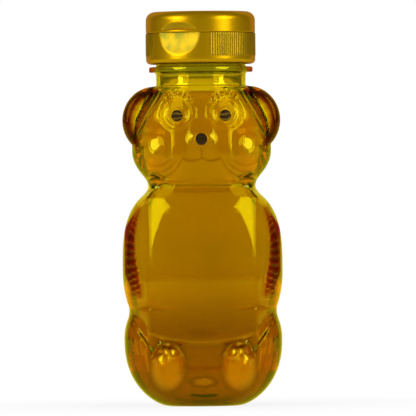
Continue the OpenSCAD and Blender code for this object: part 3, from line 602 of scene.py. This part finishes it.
def tintAt(x, y, z, outside):  # the colour of the wall with its painted shade and light, and in its alpha how far the coat's tint turns to painted red shade
    b = bear
    m = abs(x)
    redShade = 0.0
    colour = mixTint(tints["body"], tints["lower"], ramp((58 - z) / 20))
    colour = bandTint(colour, "low", ramp((38 - z) / 14))
    colour = bandTint(colour, "head", ramp((z - 84) / 4))
    # painted shade over the bottom 9 mm of the bear
    colour = bandTint(colour, "foot", ramp((9 - z) / 8))
    if outside and y < 0:
        colour = bandTint(colour, "front", ramp((46 - z) / 18) * max(ramp((22 - m) / 2), ramp((30 - z) / 7)))
    if outside and y < 0 and z < 36:
        colour = footTint(colour, x, z)
    elif outside and y < 0 and z < 86:
        colour = trunkTint(colour, m, z)
    t = (z - b.armLow) / (b.armHigh - b.armLow)
    # the arms get painted shade, dark red, with painted highlights along their hair strokes; the same mask reddens the
    # coat as painted shade
    if 0 < t < 1 and abs(y) < 21:
        outer = 30.6 - 2.2 * ramp((53 - z) / 8) - 4.0 * ramp((z - 68) / 9)
        arm = ramp((m - armEdge(z) - 0.2) / 1.2) * ramp((outer - m) / 0.9) * ramp(t / 0.14) * ramp((1 - t) / 0.16)
        hairHighlight = clamp(strokeRelief(m, z, "arm") * 2) * arm if outside else 0
        redShade = arm - hairHighlight
        colour = bandTint(colour, "band", ramp((m - b.panelHalfWidth) / 0.8))
        colour = bandTint(colour, "red", arm)
        colour = bandTint(colour, "hairHighlight", hairHighlight)
    if z > 98 and z < b.neckHeight:
        q = oval(m, z, b.earX, b.earHeight, b.earHalfWidth, b.earHalfHeight)
        # a band of painted shade, dark brown, round each ear, which also reddens the coat
        edge = ramp((m - 24 + 8 * ramp((z - 114) / 5)) / 2) * bell(abs(q - 0.84), 0.2)
        redShade = max(redShade, edge)
        colour = bandTint(colour, "ear", ramp((m - 20) / 3))
        colour = bandTint(colour, "earShade", edge)
    if outside and y < 0 and z > 86:
        colour = faceTint(colour, x, z)
    colour = bandTint(colour, "neck", ramp(z - b.neckHeight + 0.5))
    colour = bandTint(colour, "ring", ramp(z - b.ringLow + 1) * ramp((b.ringLow + 5 - z) / 2))
    # painted shade under the transfer ring, and in the coat at the ring's ends
    colour = bandTint(colour, "orangeShading", 0.8 * bell(abs(z - b.ringLow + 1.2), 1.2))
    redShade = max(redShade, ramp((m - 17) / 2) * bell(abs(z - b.ringLow - 1), 1.8))
    return (*colour, redShade)


bottle = finishMesh("bottle_moulding", makeBottle(), "bottle")
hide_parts("bottle")
print("bottle:", len(bottle.data.polygons), "faces")

# The honey fills the bear up to the top of its forehead. It laps 0.15 into the wall, so no air shows between them.
honey = {"level": 122.3, "lap": 0.15}


def makeHoney():
    b = bear
    columns = columnAngles(130, 50)
    skin = [(z, wallAt(z) - honey["lap"]) for z in heights(b.floor - honey["lap"], 86, 60)
            + heights(86, honey["level"], 60) + [honey["level"]]]
    rows = [bodyRow(columns, skin[0][0], skin[0][1], share, skin[0][0] + b.pushup * s)
            for share, s in ((0.0, 1.0), (0.45, 0.88), (0.7, 0.3), (0.84, 0.02))]
    rows += [bodyRow(columns, z, t) for z, t in skin]
    rows += [bodyRow(columns, honey["level"], skin[-1][1], share, honey["level"] - 0.25)
             for share in (0.94, 0.6, 0.0)]
    return wrapGrid(rows)


fill = finishMesh("honey_fill", makeHoney(), "bottle")
print("honey:", len(fill.data.polygons), "faces")

# Closure. The notch, the ribs and the hinge are turned from the bear's face by thumbYaw.
closure = SimpleNamespace(**{
    "radius": 21.3, "thumbYaw": 24.4, "round": 1.8, "skirtBore": 18.95, "collar": 19.2, "collarWall": 0.9,
    "collarUp": 1.6, "deck": 1.5, "deckHeight": 143.08, "spout": 3.2, "spoutWall": 1.3, "spoutUp": 3.1,
    "ribStep": 112 / 42, "ribOut": 0.12, "ribBand": 9.0, "plain": 34.0,
    "scoopHigh": 8.6, "scoopIn": 1.8, "lidScoopHigh": 3.8, "lidScoopIn": 1.35, "lip": 0.85,
    "lidRound": 3.4, "lidWall": 1.2, "plugIn": 1.4, "plugGap": 0.35,
    "threadIn": 1.0,
})
closure.seam = (baseHigh.z - 2.58 + lidLow.z) / 2


def fromNotch(x, y):  # angle from the middle of the thumb notch, in degrees
    return (math.degrees(math.atan2(x, -y)) + closure.thumbYaw + 180) % 360 - 180


def scoopRadius(angle, z, high, deep):
    r = (high * high + deep * deep) / (2 * deep)
    up = z - closure.seam
    if abs(angle) > 60 or abs(up) >= high + 0.3:
        return 1e3
    flat = closure.radius - deep + r - math.sqrt(max(0, r * r - up * up))
    return flat / math.cos(math.radians(angle))


def makeCapBase():
    c = closure
    low, top = baseLow.z, lidLow.z - 0.1
    c.seam = (top + lidLow.z) / 2
    wall = arc(c.radius - c.round, low + c.round, c.round, -90, 0, 8)
    wall += line(c.radius, low + c.round + 0.3, c.radius, top - 0.25, 30) + [(c.radius - 0.06, top - 0.05)]
    wall += [(c.radius - 0.3, top)]
    inside = [(c.collar + 0.1, top), (c.collar, top + 0.1), (c.collar, top + c.collarUp - 0.6)]
    inside += [(c.collar + 0.1, top + c.collarUp - 0.4), (c.collar, top + c.collarUp - 0.2)]
    inside += [(c.collar - 0.2, top + c.collarUp + 0.05), (c.collar - c.collarWall, top + c.collarUp + 0.05)]
    deckTop = c.deckHeight + c.deck
    spoutTop = deckTop + c.spoutUp
    inside += [(c.collar - c.collarWall, deckTop + 0.3), (c.collar - c.collarWall - 0.3, deckTop)]
    inside += [(c.spout + c.spoutWall + 0.4, deckTop), (c.spout + c.spoutWall, deckTop + 0.4)]
    inside += arc(c.spout + c.spoutWall - 0.4, spoutTop - 0.4, 0.4, 0, 90, 4)
    inside += arc(c.spout + 0.3, spoutTop - 0.3, 0.3, 90, 180, 3)
    inside += [(c.spout, deckTop), (c.spout, c.deckHeight), (c.skirtBore, c.deckHeight), (c.skirtBore, low + 0.5)]
    inside += [(c.skirtBore + 0.15, low + 0.05), (c.skirtBore + 0.3, low), wall[0]]
    bm = spinProfile(wall + inside, 864)
    scoop = bm.verts.layers.float.new("scoop")
    for vert in bm.verts:
        x, y, z = vert.co / mm
        r = math.hypot(x, y)
        if r < c.radius - c.round or z > top + 0.01 or (r < c.collar + 0.3 and z > top - 0.01):
            continue
        angle = fromNotch(x, y)
        out = r
        if abs(r - c.radius) < 0.1:
            rib = ribHeight(angle, z, top)
            out += rib
            # the ribbed band gets painted shade at about half strength
            vert[scoop] = 0.55 * (c.plain < abs(angle) and abs(z - top + 0.5 * c.ribBand) < 0.5 * c.ribBand)
        if z > low + 1:
            cut = scoopRadius(angle, z, c.scoopHigh, c.scoopIn)
            # painted shade in the scoop
            vert[scoop] = max(vert[scoop], ramp((out - cut) / 0.12))
            out = softMin(out, cut, 0.35)
        vert.co.x *= out / r
        vert.co.y *= out / r
    return bm


def ribHeight(angle, z, top):
    c = closure
    a = abs(angle) - c.plain
    span = 180 - 2 * c.plain
    if not 0 < a < span:
        return 0.0
    t = a / c.ribStep % 1
    rib = clamp(min(t / 0.25, (0.85 - t) / 0.25))
    ends = ramp((z - (top - 0.1 - c.ribBand)) / 0.5) * ramp((top - 0.05 - z) / 0.25)
    return c.ribOut * rib * ends


def makeLid():
    c = closure
    low, top = lidLow.z, lidHigh.z
    inner = c.lidRound - c.lidWall
    roof = top - c.lidWall
    plug = c.spout - c.plugGap
    plugLow = c.deckHeight + c.deck + c.spoutUp - c.plugIn
    bore = c.radius - c.lidWall
    wall = [(c.radius - 0.3, low), (c.radius - 0.08, low + 0.06)]
    wall += line(c.radius, low + 0.2, c.radius, top - c.lidRound - 0.1, 22)
    wall += arc(c.radius - c.lidRound, top - c.lidRound, c.lidRound, 0, 90, 20)
    wall += [(12, top), (6, top), (0, top), (0, roof - 0.2), (plug - 1.2, roof - 0.2), (plug - 1.2, plugLow)]
    wall += [(plug - 0.3, plugLow), (plug, plugLow + 0.5), (plug, roof - 0.3), (plug + 0.3, roof)]
    wall += arc(bore - inner, roof - inner, inner, 90, 0, 6) + [(bore, low + 2), (bore, low + 0.2)]
    wall += [(bore + 0.2, low), wall[0]]
    bm = spinProfile(wall, 480)
    scoop = bm.verts.layers.float.new("scoop")
    for vert in bm.verts:
        x, y, z = vert.co / mm
        r = math.hypot(x, y)
        angle = fromNotch(x, y)
        if r < 2 or abs(angle) > 60:
            continue
        cut = scoopRadius(angle, z, c.lidScoopHigh, c.lidScoopIn) if z > low + c.lip else 1e3
        out = r
        if r > bore + 0.5:
            # painted shade in the lid's scoop
            vert[scoop] = 0.6 * ramp((r - cut) / 0.12)
            out = softMin(r, cut, 0.2)
        elif r > bore - 0.5 and low - 0.01 < z < low + c.lidScoopHigh + 0.6:
            out = min(r, c.collar + 0.15) if abs(angle) < 26 else r
        vert.co.x *= out / r
        vert.co.y *= out / r
    return bm


capBase = finishMesh("cap_base_moulding", makeCapBase(), "cap", 40)
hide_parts("cap_base")
capLid = finishMesh("cap_lid_moulding", makeLid(), "lid", 40)
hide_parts("cap_lid")
print("closure:", len(capBase.data.polygons), "and", len(capLid.data.polygons), "faces")

# Materials


def addNode(tree, kind, inputs=None, **settings):
    node = tree.nodes.new(kind)
    for key, value in settings.items():
        setattr(node, key, value)
    for key, value in (inputs or {}).items():
        if isinstance(value, bpy.types.NodeSocket):
            tree.links.new(value, node.inputs[key])
        else:
            node.inputs[key].default_value = value
    return node


def newMaterial(name, **constants):
    material = bpy.data.materials.new(name)
    material.use_nodes = True
    tree = material.node_tree
    shader = tree.nodes["Principled BSDF"]
    for key, value in constants.items():
        shader.inputs[key.replace("_", " ")].default_value = value
    return material, tree, shader


def makeMouldGrain():  # fine unevenness that every moulded piece shares
    group = bpy.data.node_groups.new("mouldGrain", "ShaderNodeTree")
    for name, kind, way in (("Vector", "NodeSocketVector", "INPUT"), ("Fine Scale", "NodeSocketFloat", "INPUT"),
                            ("Broad Scale", "NodeSocketFloat", "INPUT"), ("Blotch Scale", "NodeSocketFloat", "INPUT"),
                            ("Fine", "NodeSocketFloat", "OUTPUT"), ("Broad", "NodeSocketFloat", "OUTPUT"),
                            ("Blotch", "NodeSocketFloat", "OUTPUT")):
        group.interface.new_socket(name=name, in_out=way, socket_type=kind)
    start = group.nodes.new("NodeGroupInput")
    end = group.nodes.new("NodeGroupOutput")
    for output, scale, detail in (("Fine", "Fine Scale", 3.0), ("Broad", "Broad Scale", 1.0),
                                  ("Blotch", "Blotch Scale", 2.0)):
        noise = addNode(group, "ShaderNodeTexNoise", {"Vector": start.outputs["Vector"],
                                                      "Scale": start.outputs[scale], "Detail": detail})
        group.links.new(noise.outputs["Fac"], end.inputs[output])
    return group


mouldGrain = makeMouldGrain()


def grainNode(tree, fine, broad, blotch=160):
    place = addNode(tree, "ShaderNodeTexCoord")
    grain = addNode(tree, "ShaderNodeGroup", node_tree=mouldGrain)
    tree.links.new(place.outputs["Object"], grain.inputs["Vector"])
    grain.inputs["Fine Scale"].default_value = fine
    grain.inputs["Broad Scale"].default_value = broad
    grain.inputs["Blotch Scale"].default_value = blotch
    return grain


def mixColours(tree, factor, a, b):
    mix = addNode(tree, "ShaderNodeMix", data_type="RGBA")
    for socket, value in ((mix.inputs[0], factor), (mix.inputs[6], a), (mix.inputs[7], b)):
        if isinstance(value, bpy.types.NodeSocket):
            tree.links.new(value, socket)
        else:
            socket.default_value = value
    return mix.outputs[2]


def spread(tree, value, fromLow, fromHigh, low, high):
    node = addNode(tree, "ShaderNodeMapRange", {0: value, 1: fromLow, 2: fromHigh, 3: low, 4: high})
    return node.outputs[0]


def bump(tree, height, strength, distance):
    node = addNode(tree, "ShaderNodeBump", {"Height": height, "Strength": strength, "Distance": distance})
    return node.outputs["Normal"]


def makeAmberPet():
    material, tree, shader = newMaterial("amberPet", IOR=1.5, Transmission_Weight=1.0, Coat_Weight=1.0,
                                         Coat_IOR=1.01,
                                         Specular_Tint=(0.95, 0.97, 0.05, 1.0))
    grain = grainNode(tree, 900, 45)
    tint = addNode(tree, "ShaderNodeAttribute", attribute_name="tint")
    shade = spread(tree, grain.outputs["Broad"], 0.35, 0.65, 0.95, 1.03)
    colour = addNode(tree, "ShaderNodeVectorMath", {0: tint.outputs["Color"], 1: shade}, operation="MULTIPLY")
    tree.links.new(colour.outputs[0], shader.inputs["Base Color"])
    # the coat's tint turns to painted red shade where the wall's tint alpha is high
    redShade = mixColours(tree, tint.outputs["Alpha"], (1.0, 0.97, 0.2, 1), (0.85, 0.38, 0.015, 1))
    tree.links.new(redShade, shader.inputs["Coat Tint"])
    gloss = addNode(tree, "ShaderNodeAttribute", attribute_name="gloss")
    shine = mixColours(tree, gloss.outputs["Fac"], (0.95, 0.97, 0.05, 1), (3.4, 3.2, 0.4, 1))
    tree.links.new(shine, shader.inputs["Specular Tint"])
    tree.links.new(spread(tree, grain.outputs["Fine"], 0.3, 0.7, 0.005, 0.025), shader.inputs["Roughness"])
    tree.links.new(bump(tree, grain.outputs["Broad"], 0.1, 0.0004), shader.inputs["Normal"])
    return material


def makeHoneyMaterial():
    material, tree, shader = newMaterial("honey", IOR=1.49, Transmission_Weight=1.0, Roughness=0.0,
                                         Base_Color=(1, 1, 1, 1))
    absorb = addNode(tree, "ShaderNodeVolumeAbsorption", {"Color": (0.955, 0.905, 0.0, 1), "Density": 300.0})
    tree.links.new(absorb.outputs["Volume"], tree.nodes["Material Output"].inputs["Volume"])
    return material


def makeGoldCap():
    material, tree, shader = newMaterial("goldCap", Metallic=0.95, Specular_Tint=(0.6, 0.36, 0.04, 1.0))
    grain = grainNode(tree, 1400, 60)
    colour = mixColours(tree, grain.outputs["Broad"], (0.45, 0.25, 0.001, 1), (0.51, 0.285, 0.002, 1))
    # painted shade, mottled, in the thumb notch's scoops and over the ribbed band
    scoop = addNode(tree, "ShaderNodeAttribute", attribute_name="scoop")
    blotch = spread(tree, grain.outputs["Blotch"], 0.4, 0.6, 0.5, 0.95)
    scoopShade = addNode(tree, "ShaderNodeMath", {0: scoop.outputs["Fac"], 1: blotch}, operation="MULTIPLY")
    colour = mixColours(tree, scoopShade.outputs[0], colour, (0.15, 0.135, 0.01, 1))
    tree.links.new(colour, shader.inputs["Base Color"])
    tree.links.new(spread(tree, grain.outputs["Fine"], 0.3, 0.7, 0.3, 0.33), shader.inputs["Roughness"])
    tree.links.new(bump(tree, grain.outputs["Fine"], 0.01, 0.0001), shader.inputs["Normal"])
    return material


def makeInk(name, dark, light):
    material, tree, shader = newMaterial(name, IOR=1.4, Specular_Tint=(1.0, 0.7, 0.3, 1.0))
    grain = grainNode(tree, 1200, 500)
    place = addNode(tree, "ShaderNodeTexCoord")
    # painted reflection: lighter horizontal stripes across the ink
    reflectionStripes = addNode(tree, "ShaderNodeTexWave", {"Vector": place.outputs["Object"], "Scale": 190.0,
                                                "Distortion": 6.0, "Detail": 2.0, "Detail Scale": 1.2},
                    bands_direction="Z")
    colour = mixColours(tree, spread(tree, reflectionStripes.outputs["Fac"], 0.5, 1.0, 0.0, 0.8), dark, light)
    tree.links.new(colour, shader.inputs["Base Color"])
    tree.links.new(spread(tree, grain.outputs["Fine"], 0.3, 0.7, 0.2, 0.35), shader.inputs["Roughness"])
    tree.links.new(bump(tree, grain.outputs["Fine"], 0.2, 0.0001), shader.inputs["Normal"])
    return material


def makeFoam():
    material, tree, shader = newMaterial("foamSeal", Roughness=0.8)
    grain = grainNode(tree, 1800, 120)
    colour = mixColours(tree, grain.outputs["Broad"], (0.78, 0.75, 0.67, 1), (0.88, 0.86, 0.8, 1))
    tree.links.new(colour, shader.inputs["Base Color"])
    tree.links.new(bump(tree, grain.outputs["Fine"], 0.5, 0.0002), shader.inputs["Normal"])
    return material


amberPet = makeAmberPet()
goldCap = makeGoldCap()
pupilInk = makeInk("pupilInk", (0.02, 0.008, 0.001, 1), (0.16, 0.1, 0.005, 1))
noseInk = makeInk("noseInk", (0.012, 0.005, 0.001, 1), (0.022, 0.009, 0.001, 1))
finishes = {bottle: amberPet, fill: makeHoneyMaterial(), capBase: goldCap, capLid: goldCap}
finishes[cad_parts["left_eye"]] = pupilInk
finishes[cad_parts["right_eye"]] = pupilInk
finishes[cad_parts["nose_tip"]] = noseInk
finishes[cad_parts["living_hinge"]] = goldCap
finishes[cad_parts["seal_liner"]] = makeFoam()
for piece, material in finishes.items():
    piece.data.materials.clear()
    piece.data.materials.append(material)
print("materials:", sorted({material.name for material in finishes.values()}))

# Stage, light and camera, in metres

studio = {"paperHalf": 1.4, "paperFront": -1.6, "paperBack": 1.2, "backdropUp": 0.9, "frontGrey": 0.45,
          "backGrey": 0.3, "boxAzimuth": 52.8, "boxElevation": 22.7, "boxDistance": 1.1, "boxSize": (0.58, 0.8),
          "boxPower": 6.2, "boxRoll": 25.5}


def seenByEye(tree):  # 1 for rays that show the background: camera, glossy and transmission
    path = addNode(tree, "ShaderNodeLightPath")
    both = addNode(tree, "ShaderNodeMath", {0: path.outputs["Is Camera Ray"], 1: path.outputs["Is Glossy Ray"]},
                   operation="MAXIMUM")
    return addNode(tree, "ShaderNodeMath", {0: both.outputs[0], 1: path.outputs["Is Transmission Ray"]},
                   operation="MAXIMUM").outputs[0]


def makePaper(name, nearShare):  # pale paper that reads white to the eye, and keeps the shadow near the object
    material = bpy.data.materials.new(name)
    material.use_nodes = True
    tree = material.node_tree
    tree.nodes.remove(tree.nodes["Principled BSDF"])
    diffuse = addNode(tree, "ShaderNodeBsdfDiffuse", {"Color": (0.86, 0.86, 0.86, 1)})
    glow = addNode(tree, "ShaderNodeEmission", {"Color": (1, 1, 1, 1), "Strength": 1.0})
    place = addNode(tree, "ShaderNodeTexCoord")
    far = addNode(tree, "ShaderNodeVectorMath", {0: place.outputs["Object"]}, operation="LENGTH")
    share = spread(tree, far.outputs["Value"], 0.04, 0.14, nearShare, 1.0)
    parts = addNode(tree, "ShaderNodeSeparateXYZ", {"Vector": place.outputs["Object"]})
    front = spread(tree, parts.outputs["Y"], -1.4, -0.2, 0.2, 1.0)
    share = addNode(tree, "ShaderNodeMath", {0: share, 1: front}, operation="MULTIPLY").outputs[0]
    factor = addNode(tree, "ShaderNodeMath", {0: seenByEye(tree), 1: share}, operation="MULTIPLY")
    mix = addNode(tree, "ShaderNodeMixShader", {0: factor.outputs[0], 1: diffuse.outputs[0], 2: glow.outputs[0]})
    back = addNode(tree, "ShaderNodeNewGeometry").outputs["Backfacing"]  # clear from behind, for a camera there
    clear = addNode(tree, "ShaderNodeBsdfTransparent")
    sheet = addNode(tree, "ShaderNodeMixShader", {0: back, 1: mix.outputs[0], 2: clear.outputs[0]})
    tree.links.new(sheet.outputs[0], tree.nodes["Material Output"].inputs["Surface"])
    return material


def makeSheet(name, place, share):
    bm = bmesh.new()
    bmesh.ops.create_grid(bm, x_segments=2, y_segments=2, size=1, matrix=place)
    sheet = bpy.data.objects.new(name, bpy.data.meshes.new(name))
    bm.to_mesh(sheet.data)
    bm.free()
    scene.collection.objects.link(sheet)
    sheet.data.materials.append(makePaper(name + "Paper", share))
    return sheet


def makeStage():  # a strip of paper that lies under the object and hangs behind it
    wide, near, far = studio["paperHalf"], studio["paperFront"], studio["paperBack"]
    up = studio["backdropUp"]
    lying = Matrix.Translation((0, (near + far) / 2, 0)) @ Matrix.Diagonal((wide, (far - near) / 2, 1, 1))
    hanging = Matrix.Translation((0, far, up)) @ Matrix.Rotation(math.pi / 2, 4, "X") @ Matrix.Diagonal((wide, up, 1, 1))
    makeSheet("floor", lying, 0.85)
    makeSheet("backdrop", hanging, 1.0)


def makeWorld():  # a grey room, darker behind the paper
    world = bpy.data.worlds.new("studio")
    scene.world = world
    world.use_nodes = True
    tree = world.node_tree
    way = addNode(tree, "ShaderNodeTexCoord")
    parts = addNode(tree, "ShaderNodeSeparateXYZ", {"Vector": way.outputs["Generated"]})
    tree.links.new(spread(tree, parts.outputs["Y"], -0.2, 0.5, studio["frontGrey"], studio["backGrey"]),
                   tree.nodes["Background"].inputs["Color"])


def makeLight(name, azimuth, elevation, distance, size, power, roll, centre):
    light = bpy.data.lights.new(name, "AREA")
    light.shape = "RECTANGLE"
    light.size, light.size_y = size
    light.energy = power
    lamp = bpy.data.objects.new(name, light)
    a, e = math.radians(azimuth), math.radians(elevation)
    way = Vector((math.sin(a) * math.cos(e), -math.cos(a) * math.cos(e), math.sin(e)))
    turn = way.to_track_quat("Z", "Y").to_matrix().to_4x4()
    lamp.matrix_world = Matrix.Translation(centre + way * distance) @ turn @ Matrix.Rotation(math.radians(roll), 4, "Z")
    lamp.visible_camera = False
    scene.collection.objects.link(lamp)


makeStage()
makeWorld()
middle = Vector((0, 0, 0.077))
for side, name in ((-1, "left_box"), (1, "right_box")):
    makeLight(name, side * studio["boxAzimuth"], studio["boxElevation"], studio["boxDistance"], studio["boxSize"],
              studio["boxPower"], -side * studio["boxRoll"], middle)

# The photograph is 416 pixels square and shows 162.2 mm at the object
photo = {"distance": 3.0, "width": 0.1622, "aimX": 0.0023, "aimZ": 0.0770, "roll": 0.55}
camera = bpy.data.cameras.new("camera")
camera.sensor_width = 36
camera.lens = 36 * photo["distance"] / photo["width"]
eye = bpy.data.objects.new("camera", camera)
eye.location = (photo["aimX"], -photo["distance"], photo["aimZ"])
eye.rotation_euler = (math.pi / 2, math.radians(photo["roll"]), 0)
scene.collection.objects.link(eye)
scene.camera = eye
scene.view_settings.view_transform = "Standard"
print("stage, lights and camera done")
